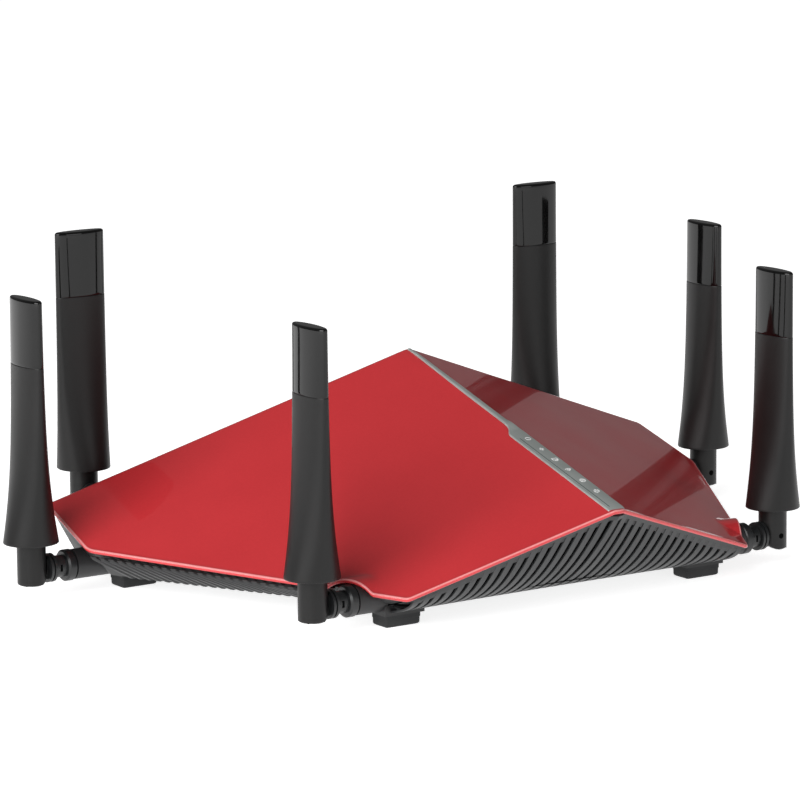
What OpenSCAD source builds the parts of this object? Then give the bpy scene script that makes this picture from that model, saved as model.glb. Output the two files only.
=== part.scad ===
// Six-antenna wireless router.
// Folded roof shell over a black tray, louvred front, socket panel at the rear,
// and six swivelling blade antennas. Millimetres, +Z up, front towards -Y.
// Origin: centre of the bounding box, on the surface that the feet stand on.

/* [Roof] */
// Distance of the front tip of the ridge ahead of the origin
tip_front = 123.1; // [112:0.1:130]
// Height of the ridge at the front tip
tip_height = 48.4; // [44:0.1:54]
// Distance of the highest point behind the origin
apex_back = 35.6; // [25:0.1:45]
// Height of the highest point of the roof
apex_height = 94.8; // [88:0.1:104]
// Half width across the two front corners
corner_half = 89.9; // [86:0.1:94]
// Distance of the front corners ahead of the origin
corner_front = 95.4; // [92:0.1:99]
// Height of the front corners
corner_height = 16.2; // [15:0.1:17]
// Half width across the widest corners of the housing
side_half = 164.3; // [162:0.1:168]
// Distance of the widest corners behind the origin
side_back = 40.9; // [36:0.1:46]
// Half width across the shoulders, where the rear roof begins
shoulder_half = 161.2; // [158:0.1:162]
// Half width of the rear edge
rear_half = 135; // [134:0.5:140]
// Distance of the rear wall behind the origin
rear_back = 91.5; // [90:0.1:91.8]
// How steeply the rear roof falls, as rise over run
rear_fall = 0.45; // [0.40:0.01:0.50]
// Wall thickness of the roof shell, measured straight down
roof_wall = 2.2; // [1.8:0.1:2.4]

/* [Housing] */
// Height of the underside of the tray above the table
tray_height = 7.8; // [7.4:0.1:8.6]
// Thickness of the tray floor
floor_wall = 2; // [1.5:0.1:2.5]
// Spacing of the louvre slots in the front
louvre_pitch = 5; // [4.5:0.1:7]
// Width of one louvre slot
louvre_slot = 1.5; // [1:0.1:2]
// Length of a foot along X
foot_length = 17.9; // [14:0.1:19]
// Length of a foot along Y
foot_depth = 11.5; // [9:0.1:12]

/* [Antennas] */
// Length of a blade from its flared lower end to its top
blade_length = 106.8; // [90:0.1:115]
// Length of the glossy cap at the top of a blade
cap_length = 28.9; // [20:0.1:38]
// Width of a blade across its flat sides
blade_width = 24.4; // [22:0.1:25]
// Thickness of a blade at its top
blade_thin = 6.8; // [6:0.1:9]
// Radius of the round stub under each blade
stub_r = 6.3; // [6:0.1:6.4]
// Height of the elbow pins of the four side antennas
side_pin_height = 13.3; // [13:0.1:13.4]
// Height of the elbow pins of the two rear antennas
rear_pin_height = 30.5; // [29:0.1:31]
// Radius of an elbow pin
pin_r = 1; // [0.8:0.1:1.2]

/* [Sockets] */
// Width of one network jack
jack_w = 16; // [15:0.1:16]
// Height of one network jack
jack_h = 14; // [13:0.1:15]
// Width of the socket inside a network jack
socket_w = 11.8; // [11.4:0.1:12]
// Depth of the socket inside a network jack
socket_depth = 14; // [12:0.5:15]
// Number of network jacks in the block
lan_count = 4; // [2:1:4]

/* [Hidden] */

$fn = 48;
fit = 0.1;        // gap between pieces that are fastened together
slide_fit = 0.25; // gap around a button in its hole

// ---- roof planes ----
// The front roof falls sideways from the ridge; the rear roof meets it along
// a crease from the apex to each shoulder.
ridge_rise = (apex_height - tip_height) / (tip_front + apex_back);
side_fall = (tip_height + ridge_rise * (tip_front - corner_front) - corner_height) / corner_half;
shoulder_back = 80.9;
shoulder_height = front_roof(shoulder_half, shoulder_back);
crease_slope = (shoulder_back - apex_back) / shoulder_half;
rear_side_fall = (apex_height - rear_fall * (shoulder_back - apex_back) - shoulder_height)
    / shoulder_half;
ridge_angle = atan(ridge_rise);
ridge_length = (tip_front + apex_back) / cos(ridge_angle);

function front_roof(x, y) = tip_height + ridge_rise * (y + tip_front) - side_fall * abs(x);
function rear_roof(x, y) = apex_height - rear_fall * (y - apex_back) - rear_side_fall * abs(x);
function roof(x, y) = min(front_roof(x, y), rear_roof(x, y));

// Half of the plan outline, from the front tip to the middle of the rear edge
function half_outline(inset) = [
    [0, -tip_front + 1.4 * inset],
    [corner_half - inset, -corner_front + inset],
    [side_half - inset, side_back],
    [shoulder_half - inset, shoulder_back - crease_slope * inset],
    [rear_half - 0.5 * inset, rear_back - inset],
    [0, rear_back - inset]
];
function full_outline(half) = concat(half, [for (i = [4:-1:1]) [-half[i].x, half[i].y]]);

// Where the louvred front turns under, and the bend of its curve
floor_front = -71.6;
curve_front = -94;
curve_height = 10.7;
curve_half = corner_half - 6;
curve_steps = 8;

// Half of the outline of the tray's flat underside
function half_floor(inset) = [
    [0, floor_front + inset],
    [82.3 - 0.8 * inset, floor_front + inset],
    [147 - inset, 49.4],
    [145 - inset, 79 - 0.4 * inset],
    [131 - 0.6 * inset, rear_back - inset],
    [0, rear_back - inset]
];

// ---- antenna places ----
// Each entry: stub centre x, y, height of the pin, and the direction from the
// stub to the housing as an angle about Z
side_x = 182.6;
side_y = 57.4;
front_x = 121.9;
front_y = -71.9;
back_x = 123.9;
back_y = 112.1;
ANTENNAS = [
    [-side_x, side_y, side_pin_height, 0],
    [-back_x, back_y, rear_pin_height, -90],
    [-front_x, front_y, side_pin_height, 0],
    [back_x, back_y, rear_pin_height, -90],
    [side_x, side_y, side_pin_height, 180],
    [front_x, front_y, side_pin_height, 180]
];

// ---- connector, measured from the stub centre towards the housing ----
flange_near = 6.7;
flange_far = 9.8;
neck_near = 10.1;
neck_r = 4.8;
collar_near = 15.1;
collar_far = 19.3;
collar_r = 6.9;
sleeve_near = 19.7;
sleeve_far = 41;
sleeve_r = 6.6;
jack_r = 3.1;
jack_near = 13.4;
jack_seat = 33.2;
jack_far = 39;
tongue_r = 4.5;
tongue_half = 2.3;
tail_r = 2.5;
run_fit = 0.06;
pin_length = 10.6;

// ---- blade, measured from the pin upwards ----
flare_h = 12.2;
blade_top = flare_h + blade_length;
cap_h = blade_top - cap_length;
flare_thick = 24.4;
blade_sides = 24;

// Thickness of the blade at height h above its flared end: a wide foot that
// thins quickly, then slowly, towards the top
function blade_thick(h) = blade_thin + (flare_thick - blade_thin) * exp(-pow(h / 35, 1.1));
function blade_wide(h) = blade_width - 0.5 * exp(-h / 20);
// The section turns from an ellipse at the foot into a lens at the top
function blade_power(h) = 1 - 0.12 * min(h / 60, 1);

// ---- ridge strip, measured along the ridge from its front tip ----
bead_half = 1.5;
bead_top = 0.3;
// screw posts between the floor and the roof
post_r = 3.4;
post_meet = 22.5;
pilot_r = 1.3;
shank_r = 1.7;
head_well_r = 3;
band_half = 4.3;
band_start = 3.8;
band_end = 85;
flare_end = 89.7;
band_top = -1.1;
strip_bottom = -3.6;
window_left = -1.8;
window_right = 3.8;
window_depth = 1.2;
led_x = 1.3;
led_count = 6;
led_first = 19.5;
led_step = 10.42;
led_drop = 9;

// ---- electronics ----
board_half = 100;
board_front = -28;
board_back = 87.8;
board_z = 17.6;
board_wall = 1.6;
board_top = board_z + board_wall;
panel_wall = 2.4;
panel_half = 129.5;
panel_front = rear_back - panel_wall;
button_z = 26.2;
power_x = 98;
wps_x = -80;
reset_x = -94;
dc_x = 80;
wan_x = 16;
usb_xs = [40, 58];
usb_w = 14.4;
usb_h = 7;
dc_w = 10;
dc_h = 11.4;
dc_bore_r = 3.1;
BOARD_SCREWS = [[92, -20], [-92, -20], [94, 63], [-94, 63]];
CASE_SCREWS = [[58, -50], [-58, -50], [115, 28], [-115, 28]];
FEET = [[70.6, -77], [121.6, 53]];
foot_pad = 5.3;
// Ends of the coaxial leads on the board: side, rear and front antenna
LEAD_ENDS = [[88, 56], [88, 70], [70, -20]];

// =====================================================================
// Shared shapes
// =====================================================================

// Everything under the roof planes, lowered by drop, inside the outline
module roof_block(drop, inset) {
    rim = full_outline(half_outline(inset));
    n = len(rim);
    top = [for (p = rim) [p.x, p.y, roof(p.x, p.y) - drop]];
    base = [for (p = rim) [p.x, p.y, -1]];
    apex = [[0, apex_back, apex_height - drop]];
    walls = [for (i = [0:n - 1]) [i, (i + 1) % n, n + (i + 1) % n, n + i]];
    polyhedron(
        points = concat(top, base, apex),
        faces = concat(
            walls,
            [[2 * n, 3, 2, 1, 0]],
            [[2 * n, 0, 9, 8, 7]],
            [[2 * n, 5, 4, 3]],
            [[2 * n, 7, 6, 5]],
            [[for (i = [0:n - 1]) n + i]]
        )
    );
}

// A cylinder lying along a connector, sinking into the roof as it runs inwards
module hump(i, r) {
    a = ANTENNAS[i];
    rise = 5.2;
    wide = 11.5;
    full = (wide * wide + rise * rise) / (2 * rise);
    edge = 20;
    sign = a.x > 0 ? 1 : -1;
    edge_x = abs(a.x) - edge;
    tilt = 2;
    translate([sign * edge_x, a.y, roof(edge_x, a.y) + rise - full])
        rotate([0, -sign * (90 - tilt), 0])
            translate([0, 0, -12])
                cylinder(h = 52, r = full - r);
}

module humps(r) {
    for (i = [2, 5]) hump(i, r);
}

module plan_prism(inset) {
    translate([0, 0, -2]) linear_extrude(130) polygon(full_outline(half_outline(inset)));
}

// The outer form of the roof with its humps, lowered by drop
module roof_form(drop, inset) {
    roof_block(drop, inset);
    intersection() {
        plan_prism(inset);
        humps(drop);
        translate([-200, -130, 0]) cube([400, 260, 60]);
    }
}

function front_edge(x) = -tip_front + (tip_front - corner_front) * abs(x) / corner_half;

// Point at t on the curve that drops from the rim and turns under, at width x
function louvre_curve(x, t) =
    let (
        y = front_edge(x) + 1.2,
        z = roof(x, y) - roof_wall - fit,
        a = (1 - t) * (1 - t),
        b = 2 * t * (1 - t),
        c = t * t
    )
    [x, a * y + b * curve_front + c * floor_front, a * z + b * curve_height + c * tray_height];

// Convex body between the rim and the tray's underside
module housing_hull(rim_inset, rim_lift, floor_inset, floor_z) {
    rim = full_outline(half_outline(rim_inset));
    base = full_outline(half_floor(floor_inset));
    points = concat(
        [for (p = rim) [p.x, p.y, roof(p.x, p.y) + rim_lift]],
        [for (p = base) [p.x, p.y, floor_z]],
        [for (x = [-curve_half, 0, curve_half], k = [1:curve_steps - 1])
            louvre_curve(x, k / curve_steps) + [0, floor_inset, floor_z - tray_height]],
        [[0, apex_back, apex_height + rim_lift]]
    );
    hull() polyhedron(points = points, faces = [[for (i = [0:len(points) - 1]) i]]);
}

module housing_outer() {
    intersection() {
        housing_hull(0.8, 0, 0, tray_height);
        roof_form(roof_wall + fit, 0.8);
    }
}

module housing_inner() {
    housing_hull(3, 8, 2.4, tray_height + floor_wall);
}

// Front opening of the housing as a prism along Y, drawn in by inset
module front_window(inset) {
    peak = tip_height - roof_wall - 3.2 - inset;
    low = tray_height + 2.8 + inset;
    half = (peak - low) / ((tip_height - corner_height) / corner_half);
    translate([0, -78, 0])
        rotate([90, 0, 0])
            linear_extrude(60)
                polygon([[-half, low], [half, low], [0, peak]]);
}

// Puts children at antenna i, with +X from the stub towards the housing
module at_antenna(i) {
    a = ANTENNAS[i];
    translate([a.x, a.y, a.z]) rotate([0, 0, a[3]]) children();
}

// A cylinder along +X from near to far
module bar(near, far, r) {
    translate([near, 0, 0]) rotate([0, 90, 0]) cylinder(h = far - near, r = r);
}

module along_ridge() {
    translate([0, -tip_front, tip_height]) rotate([ridge_angle, 0, 0]) children();
}

// A cylinder along +Y from y0 to y1
module rod_y(x, z, y0, y1, r) {
    translate([x, y0, z]) rotate([-90, 0, 0]) cylinder(h = y1 - y0, r = r);
}

// =====================================================================
// Housing
// =====================================================================

// Outline of the wide band with the lamps
module band_outline(extra) {
    polygon([
        [-band_half - extra, band_start - extra],
        [band_half + extra, band_start - extra],
        [band_half + extra, band_end],
        [bead_half + extra, flare_end],
        [-bead_half - extra, flare_end],
        [-band_half - extra, band_end]
    ]);
}

// Outline of the narrow bead that runs on to the highest point
module bead_outline(extra) {
    translate([-bead_half - extra, band_end + 1])
        square([2 * (bead_half + extra), ridge_length - band_end - 1]);
}

module top_shell() {
    color("#b8353a")
    difference() {
        union() {
            difference() {
                roof_form(0, 0);
                roof_form(roof_wall, -5);
            }
            // screw posts hanging from the roof
            intersection() {
                roof_block(roof_wall / 2, 1);
                for (p = CASE_SCREWS)
                    translate([p.x, p.y, post_meet + 0.1]) cylinder(h = 60, r = post_r);
            }
        }
        for (p = CASE_SCREWS)
            translate([p.x, p.y, post_meet - 0.5]) cylinder(h = 9, r = pilot_r);
        // room for the coupling nuts under the front corners
        for (i = [2, 5])
            at_antenna(i) bar(flange_near, sleeve_near - fit, collar_r + 0.5);
        // seat of the ridge strip
        along_ridge()
            translate([0, 0, strip_bottom - fit])
                linear_extrude(12) {
                    band_outline(fit);
                    bead_outline(fit);
                }
        // light paths to the indicator lamps
        along_ridge()
            for (i = [0:led_count - 1])
                translate([led_x, led_first + i * led_step, -12]) cylinder(h = 16, r = 1.6);
    }
}

module bottom_shell() {
    color("#2c2d2e")
    difference() {
        union() {
            difference() {
                housing_outer();
                housing_inner();
            }
            // sleeves around the four side connectors
            for (i = [0, 2, 4, 5])
                at_antenna(i) bar(sleeve_near, sleeve_far, sleeve_r);
            // pedestals over the feet
            for (s = [-1, 1], f = FEET)
                translate([s * (f.x + foot_length / 2), f.y + foot_depth / 2, foot_pad])
                    translate([-foot_length / 2 - 1, -foot_depth / 2 - 1, 0])
                        cube([foot_length + 2, foot_depth + 2, tray_height - foot_pad + 2.2]);
            // posts for the board and for the case screws
            for (p = BOARD_SCREWS)
                translate([p.x, p.y, tray_height + 1]) cylinder(h = board_z - tray_height - 1 - fit, r = 3);
            for (p = CASE_SCREWS)
                translate([p.x, p.y, tray_height + 1])
                    cylinder(h = post_meet - 0.1 - tray_height - 1, r = post_r);
        }
        // bores and inner pockets of the connectors
        for (i = [0, 2, 4, 5])
            at_antenna(i) {
                bar(sleeve_near - 1, jack_seat + 1, jack_r + fit);
                bar(jack_seat, sleeve_far + 5, 5);
                translate([jack_seat, -5, 0]) cube([sleeve_far - jack_seat + 5, 10, 14]);
            }
        // bores of the posts
        for (p = BOARD_SCREWS)
            translate([p.x, p.y, tray_height + 2.6]) cylinder(h = 10, r = 1.25);
        for (p = CASE_SCREWS)
            translate([p.x, p.y, tray_height - 1]) {
                cylinder(h = 20, r = shank_r);
                cylinder(h = 3.4, r = head_well_r);
            }
        // front and rear openings
        front_window(0);
        translate([-panel_half - fit, panel_front - 2.5, tray_height + floor_wall])
            cube([2 * panel_half + 2 * fit, 10, 80]);
        // room for the coupling nuts and for the end of the ridge strip
        for (i = [0, 2, 4, 5])
            at_antenna(i) bar(flange_near, sleeve_near - fit, collar_r + 0.5);
        along_ridge()
            translate([0, 0, strip_bottom - fit]) linear_extrude(12) band_outline(fit);
        // cooling slots in the floor
        for (i = [-7:7])
            translate([i * 9 - 1.5, -20, tray_height - 1]) cube([3, 70, floor_wall + 2]);
    }
}

module front_grille() {
    first = -ceil(corner_half / louvre_pitch) + 1;
    color("#3a3b3c")
    difference() {
        intersection() {
            difference() {
                housing_outer();
                housing_inner();
            }
            front_window(fit);
        }
        intersection() {
            front_window(1.8);
            for (i = [first:-first])
                translate([i * louvre_pitch - louvre_slot / 2, -130, 0]) cube([louvre_slot, 60, 60]);
        }
    }
}

module panel_outline(inset) {
    drop = roof_wall + 0.3 + inset;
    side = panel_half - inset;
    low = tray_height + floor_wall + fit + inset;
    polygon([
        [-side, low],
        [side, low],
        [side, roof(side, rear_back) - drop],
        [0, roof(0, rear_back) - drop],
        [-side, roof(side, rear_back) - drop]
    ]);
}

module rear_panel() {
    slot = 2.4;
    vent_pitch = 6;
    color("#262728")
    difference() {
        union() {
            translate([0, rear_back, 0]) rotate([90, 0, 0])
                linear_extrude(panel_wall) panel_outline(0);
            for (i = [1, 3])
                at_antenna(i) bar(sleeve_near + 0.1, jack_seat, sleeve_r - 1.6);
        }
        for (i = [1, 3])
            at_antenna(i) bar(sleeve_near - 1, jack_seat + 1, jack_r + fit);
        // socket windows
        for (i = [0:lan_count - 1]) jack_window(lan_x(i));
        jack_window(wan_x);
        for (x = usb_xs)
            translate([x - usb_w / 2 - fit, panel_front - 1, board_top - fit])
                cube([usb_w + 2 * fit, 5, usb_h + 2 * fit]);
        translate([dc_x - dc_w / 2 - fit, panel_front - 1, board_top - fit])
            cube([dc_w + 2 * fit, 5, dc_h + 2 * fit]);
        rod_y(power_x, button_z, panel_front - 1, rear_back + 1, 4.2 + slide_fit);
        rod_y(wps_x, button_z, panel_front - 1, rear_back + 1, 3 + slide_fit);
        rod_y(reset_x, button_z, panel_front - 1, rear_back + 1, 1.1 + slide_fit);
        // cooling slots above the sockets
        intersection() {
            translate([0, rear_back + 1, 0]) rotate([90, 0, 0])
                linear_extrude(panel_wall + 2) panel_outline(5);
            for (i = [-15:15])
                translate([i * vent_pitch - slot / 2, panel_front - 1, 38]) cube([slot, 5, 40]);
        }
    }
}

function lan_x(i) = 2 - jack_w * (i + 0.5);

module jack_window(x) {
    translate([x - jack_w / 2 - fit, panel_front - 1, board_top - fit])
        cube([jack_w + 2 * fit, 5, jack_h + 2 * fit]);
}

module feet() {
    color("#202122")
    for (s = [-1, 1], f = FEET)
        translate([s * (f.x + foot_length / 2), f.y + foot_depth / 2, 0])
            translate([-foot_length / 2, -foot_depth / 2, 0])
                cube([foot_length, foot_depth, foot_pad]);
}

// =====================================================================
// Ridge strip and indicators
// =====================================================================

module window_outline(extra) {
    translate([window_left - extra, band_start + 1 - extra])
        square([window_right - window_left + 2 * extra, band_end - band_start - 2 + 2 * extra]);
}

module ridge_strip() {
    color("#8a9290")
    along_ridge()
    difference() {
        union() {
            translate([0, 0, strip_bottom])
                linear_extrude(band_top - strip_bottom) band_outline(0);
            translate([0, 0, strip_bottom])
                linear_extrude(bead_top - strip_bottom) bead_outline(0);
        }
        translate([0, 0, band_top - window_depth - fit])
            linear_extrude(5) window_outline(0.2);
        for (i = [0:led_count - 1])
            translate([led_x, led_first + i * led_step, -8]) cylinder(h = 16, r = 1.4);
    }
}

module led_window() {
    color("#aab2b0")
    along_ridge() {
        translate([0, 0, band_top - window_depth])
            linear_extrude(window_depth) window_outline(0);
        for (i = [0:led_count - 1])
            translate([led_x, led_first + i * led_step, 1.7 - led_drop])
                cylinder(h = led_drop - 3, r = 1.2);
    }
}

module led_board() {
    color("#1f5a3c")
    along_ridge()
        translate([-8, led_first - 8, -led_drop - 1.2])
            cube([16, led_step * (led_count - 1) + 16, 1.2]);
}

module status_leds() {
    color("#e8efe9")
    along_ridge()
        for (i = [0:led_count - 1])
            translate([led_x - 1.6, led_first + i * led_step - 0.8, -led_drop + 0.02])
                cube([3.2, 1.6, 1.4]);
}

// =====================================================================
// Electronics
// =====================================================================

module main_board() {
    color("#1d6a43")
    difference() {
        translate([-board_half, board_front, board_z])
            cube([2 * board_half, board_back - board_front, board_wall]);
        for (p = BOARD_SCREWS)
            translate([p.x, p.y, board_z - 1]) cylinder(h = 4, r = 1.5);
    }
}

// Box standing on the board, centred on x, y
module chip(x, y, w, d, h) {
    translate([x - w / 2, y - d / 2, board_top + 0.02]) cube([w, d, h]);
}

module board_parts() {
    color("#2a2a2a") {
        chip(0, 30, 22, 22, 1.8);
        chip(-28, 22, 12, 10, 1.2);
        chip(-28, 38, 12, 10, 1.2);
        // pulse transformers behind the network jacks
        for (i = [0:4]) chip(14 - 16 * i, 64, 12, 9, 4.5);
        // smoothing capacitors
        for (i = [0:2])
            translate([58 + 10 * i, 62, board_top + 0.02]) cylinder(h = 11, r = 3.8);
        // board connectors of the coaxial leads
        for (s = [-1, 1], p = LEAD_ENDS) chip(s * p.x, p.y, 3, 3, 1.4);
    }
}

module shield_cans() {
    color("#b9bcbe") {
        for (s = [-1, 1]) chip(s * 64, 32, 34, 30, 3.6);
        chip(0, -8, 44, 26, 3.6);
    }
}

module heat_sink() {
    fins = 9;
    color("#a7abad")
    translate([-26, 8, board_top + 1.9]) {
        cube([52, 44, 2.5]);
        for (i = [0:fins - 1])
            translate([i * (52 - 1.4) / (fins - 1), 0, 2.4]) cube([1.4, 44, 12]);
    }
}

module network_jack(x) {
    mouth_z = board_top + 3.4;
    notch_w = 6;
    wire = 0.45;
    difference() {
        translate([x - jack_w / 2 + 0.05, rear_back + 0.2 - 21.5, board_top + 0.02])
            cube([jack_w - 0.1, 21.5, jack_h]);
        translate([x - socket_w / 2, rear_back + 0.2 - socket_depth, mouth_z])
            cube([socket_w, socket_depth + 1, 8.4]);
        translate([x - notch_w / 2, rear_back + 0.2 - socket_depth + 4, mouth_z - 1.8])
            cube([notch_w, socket_depth, 3]);
    }
    // eight contact wires under the roof of the socket
    for (i = [0:7])
        translate([x + (i - 3.5) * 1.02 - wire / 2, rear_back - socket_depth + 0.1, mouth_z + 7.6])
            cube([wire, 8, 0.9]);
}

module ethernet_jacks() {
    color("#3c3f41") {
        for (i = [0:lan_count - 1]) network_jack(lan_x(i));
        network_jack(wan_x);
    }
}

module usb_jacks() {
    wall = 0.6;
    color("#c2c6c8")
    for (x = usb_xs)
        translate([x, rear_back + 0.2, board_top + 0.02]) {
            difference() {
                translate([-usb_w / 2, -15, 0]) cube([usb_w, 15, usb_h]);
                translate([-usb_w / 2 + wall, -13, wall])
                    cube([usb_w - 2 * wall, 14, usb_h - 2 * wall]);
            }
            translate([-5.6, -13.5, 3.2]) cube([11.2, 11.5, 2]);
        }
}

module dc_jack() {
    color("#1c1d1e") {
        difference() {
            translate([dc_x - dc_w / 2, rear_back + 0.2 - 14, board_top + 0.02])
                cube([dc_w, 14, dc_h]);
            rod_y(dc_x, board_top + dc_h / 2, rear_back - 9.5, rear_back + 1, dc_bore_r);
        }
        rod_y(dc_x, board_top + dc_h / 2, rear_back - 10, rear_back - 1, 1);
    }
}

// Push button: cap through the panel, flange behind it, stem towards its switch
module button(x, r, proud, flange_r) {
    rod_y(x, button_z, panel_front - 1.8, rear_back + proud, r);
    rod_y(x, button_z, panel_front - 1.8, panel_front - 0.3, flange_r);
    rod_y(x, button_z, panel_front - 4.2, panel_front - 1.7, 1.1);
}

module power_button() {
    color("#303234") button(power_x, 4.2, 1.9, 5.4);
}

module wps_button() {
    color("#303234") button(wps_x, 3, 1.2, 4.2);
}

module reset_button() {
    color("#8a1f22") button(reset_x, 1.1, -0.6, 2.4);
}

module tact_switches() {
    color("#4a4c4e")
    for (x = [power_x, wps_x, reset_x])
        translate([x - 3, panel_front - 11.6, board_top + 0.02]) cube([6, 5.4, 10.4]);
}

module antenna_jacks() {
    color("#c9a14a")
    for (i = [0:5])
        at_antenna(i) {
            bar(jack_near, jack_seat + 0.5, jack_r);
            bar(jack_seat + 0.05, jack_seat + 1.6, 4.5);
            bar(jack_seat + 1.5, jack_far, 2);
        }
}

// Tube of radius r along a curve from a to b that bends towards c
module lead(a, c, b, r) {
    rings = 14;
    sides = 8;
    path = [for (i = [0:rings - 1])
        let (t = i / (rings - 1))
        a * (1 - t) * (1 - t) + c * 2 * t * (1 - t) + b * t * t];
    points = [for (i = [0:rings - 1])
        let (
            ahead = path[min(i + 1, rings - 1)] - path[max(i - 1, 0)],
            dir = ahead / norm(ahead),
            flat = cross(dir, [0, 0, 1]),
            side = flat / norm(flat),
            up = cross(side, dir)
        )
        for (k = [0:sides - 1])
            path[i] + r * (cos(360 * k / sides) * side + sin(360 * k / sides) * up)];
    skin = [for (i = [0:rings - 2], k = [0:sides - 1])
        let (n = (k + 1) % sides)
        for (half = [0, 1])
            half == 0
                ? [i * sides + k, (i + 1) * sides + n, i * sides + n]
                : [i * sides + k, (i + 1) * sides + k, (i + 1) * sides + n]];
    polyhedron(
        points = points,
        faces = concat(
            skin,
            [[for (k = [0:sides - 1]) k]],
            [[for (k = [0:sides - 1]) (rings - 1) * sides + sides - 1 - k]]
        )
    );
}

module rf_pigtails() {
    lift = 2.4;
    color("#5a4a30")
    for (s = [-1, 1], k = [0:2]) {
        spot = [[side_x, side_y, side_pin_height], [back_x, back_y, rear_pin_height],
            [front_x, front_y, side_pin_height]][k];
        reach = jack_far + 0.6;
        start = k == 1 ? [spot.x, spot.y - reach, spot.z] : [spot.x - reach, spot.y, spot.z];
        finish = [LEAD_ENDS[k].x, LEAD_ENDS[k].y, board_top + lift];
        bend = [[110, 58, board_top + lift], [121, 62, 29], [72, -70, 20]][k];
        lead([s * start.x, start.y, start.z], [s * bend.x, bend.y, bend.z],
            [s * finish.x, finish.y, finish.z], 0.9);
    }
}

module board_screws() {
    color("#9a9da0")
    for (p = BOARD_SCREWS)
        translate([p.x, p.y, 0]) {
            translate([0, 0, board_top + 0.02]) cylinder(h = 1.6, r = 2.4);
            translate([0, 0, tray_height + 3]) cylinder(h = board_top - tray_height - 2.9, r = 1.15);
        }
}

module case_screws() {
    color("#9a9da0")
    for (p = CASE_SCREWS)
        translate([p.x, p.y, 0]) {
            translate([0, 0, tray_height + 0.4]) cylinder(h = 1.9, r = 2.8);
            translate([0, 0, tray_height + 2]) cylinder(h = 18, r = 1.2);
        }
}

// =====================================================================
// Antennas. X runs towards the housing, Y along the pin, Z up the blade
// =====================================================================

// Rings of points from low to high, each the blade's section at that height
module blade_solid(heights) {
    n = blade_sides;
    last = len(heights) - 1;
    points = [for (h = heights, k = [0:n - 1])
        let (
            a = 360 * k / n,
            c = cos(a),
            s = sin(a),
            e = h - flare_h,
            p = blade_power(e)
        )
        [blade_thick(e) / 2 * (c < 0 ? -1 : 1) * pow(abs(c), p),
            blade_wide(e) / 2 * (s < 0 ? -1 : 1) * pow(abs(s), 2 - p), h]];
    skin = [for (i = [0:last - 1], k = [0:n - 1])
        let (m = (k + 1) % n)
        for (half = [0, 1])
            half == 0
                ? [i * n + k, (i + 1) * n + m, i * n + m]
                : [i * n + k, (i + 1) * n + k, (i + 1) * n + m]];
    polyhedron(
        points = points,
        faces = concat(
            skin,
            [[for (k = [0:n - 1]) k]],
            [[for (k = [0:n - 1]) last * n + n - 1 - k]]
        )
    );
}

// Hollow for the radiator strip, from low to high
module radiator_hollow(low, high) {
    translate([-0.9, -5.6, low]) cube([1.8, 11.2, high - low]);
}

module sleeve(i) {
    rings = [for (e = [0, 4, 9, 15, 22, 30, 40, 52, 66]) flare_h + e];
    color("#3b3c3d")
    at_antenna(i)
    difference() {
        union() {
            blade_solid(concat(rings, [cap_h - fit]));
            cylinder(h = flare_h + 0.5, r = stub_r);
            // below the pin: square on the outer side, rounded about the pin towards the housing
            intersection() {
                translate([0, 0, -stub_r]) cylinder(h = stub_r + 0.01, r = stub_r);
                union() {
                    rotate([90, 0, 0]) cylinder(h = 2 * stub_r + 2, r = stub_r, center = true);
                    translate([-stub_r - 1, -stub_r - 1, -stub_r]) cube([stub_r + 1, 2 * stub_r + 2, stub_r]);
                }
            }
        }
        // slot that swings over the knuckle's tongue: open to the housing and below
        translate([-tongue_r - 0.4, -tongue_half - 0.2, -stub_r - 1])
            cube([stub_r + tongue_r + 2, 2 * tongue_half + 0.4, stub_r + tongue_r + 1.4]);
        rod_y(0, 0, -pin_length / 2 - 0.02, stub_r + 1, pin_r + 0.01);
        radiator_hollow(flare_h + 3, cap_h + 1);
    }
}

module cap(i) {
    rings = [cap_h, cap_h + 10, cap_h + 20, blade_top - 0.8];
    color("#141516")
    at_antenna(i)
    difference() {
        blade_solid(concat(rings, [blade_top]));
        radiator_hollow(cap_h - 1, blade_top - 3);
    }
}

module radiator(i) {
    color("#2f7d55")
    at_antenna(i)
        translate([-0.4, -5.4, flare_h + 3.1]) cube([0.8, 10.8, blade_length - 6.3]);
}

module knuckle(i) {
    color("#333435")
    at_antenna(i)
    difference() {
        union() {
            rotate([90, 0, 0]) cylinder(h = 2 * tongue_half, r = tongue_r, center = true);
            translate([0, -tongue_half, -tongue_r]) cube([flange_near + 0.5, 2 * tongue_half, 2 * tongue_r]);
            bar(flange_near, flange_far, stub_r);
            bar(flange_far - 0.1, neck_near + 2.2, tail_r);
            bar(neck_near + 1.6, neck_near + 2.6, tail_r + 0.8);
        }
        rotate([90, 0, 0]) cylinder(h = 2 * tongue_half + 2, r = pin_r + run_fit, center = true);
        // groove around the flange
        translate([flange_near + 1.2, 0, 0]) rotate([0, 90, 0])
            difference() {
                cylinder(h = 0.7, r = stub_r + 1);
                translate([0, 0, -1]) cylinder(h = 3, r = stub_r - 0.9);
            }
    }
}

module pin(i) {
    color("#8f9396")
    at_antenna(i) rotate([90, 0, 0]) cylinder(h = pin_length, r = pin_r, center = true);
}

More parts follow.
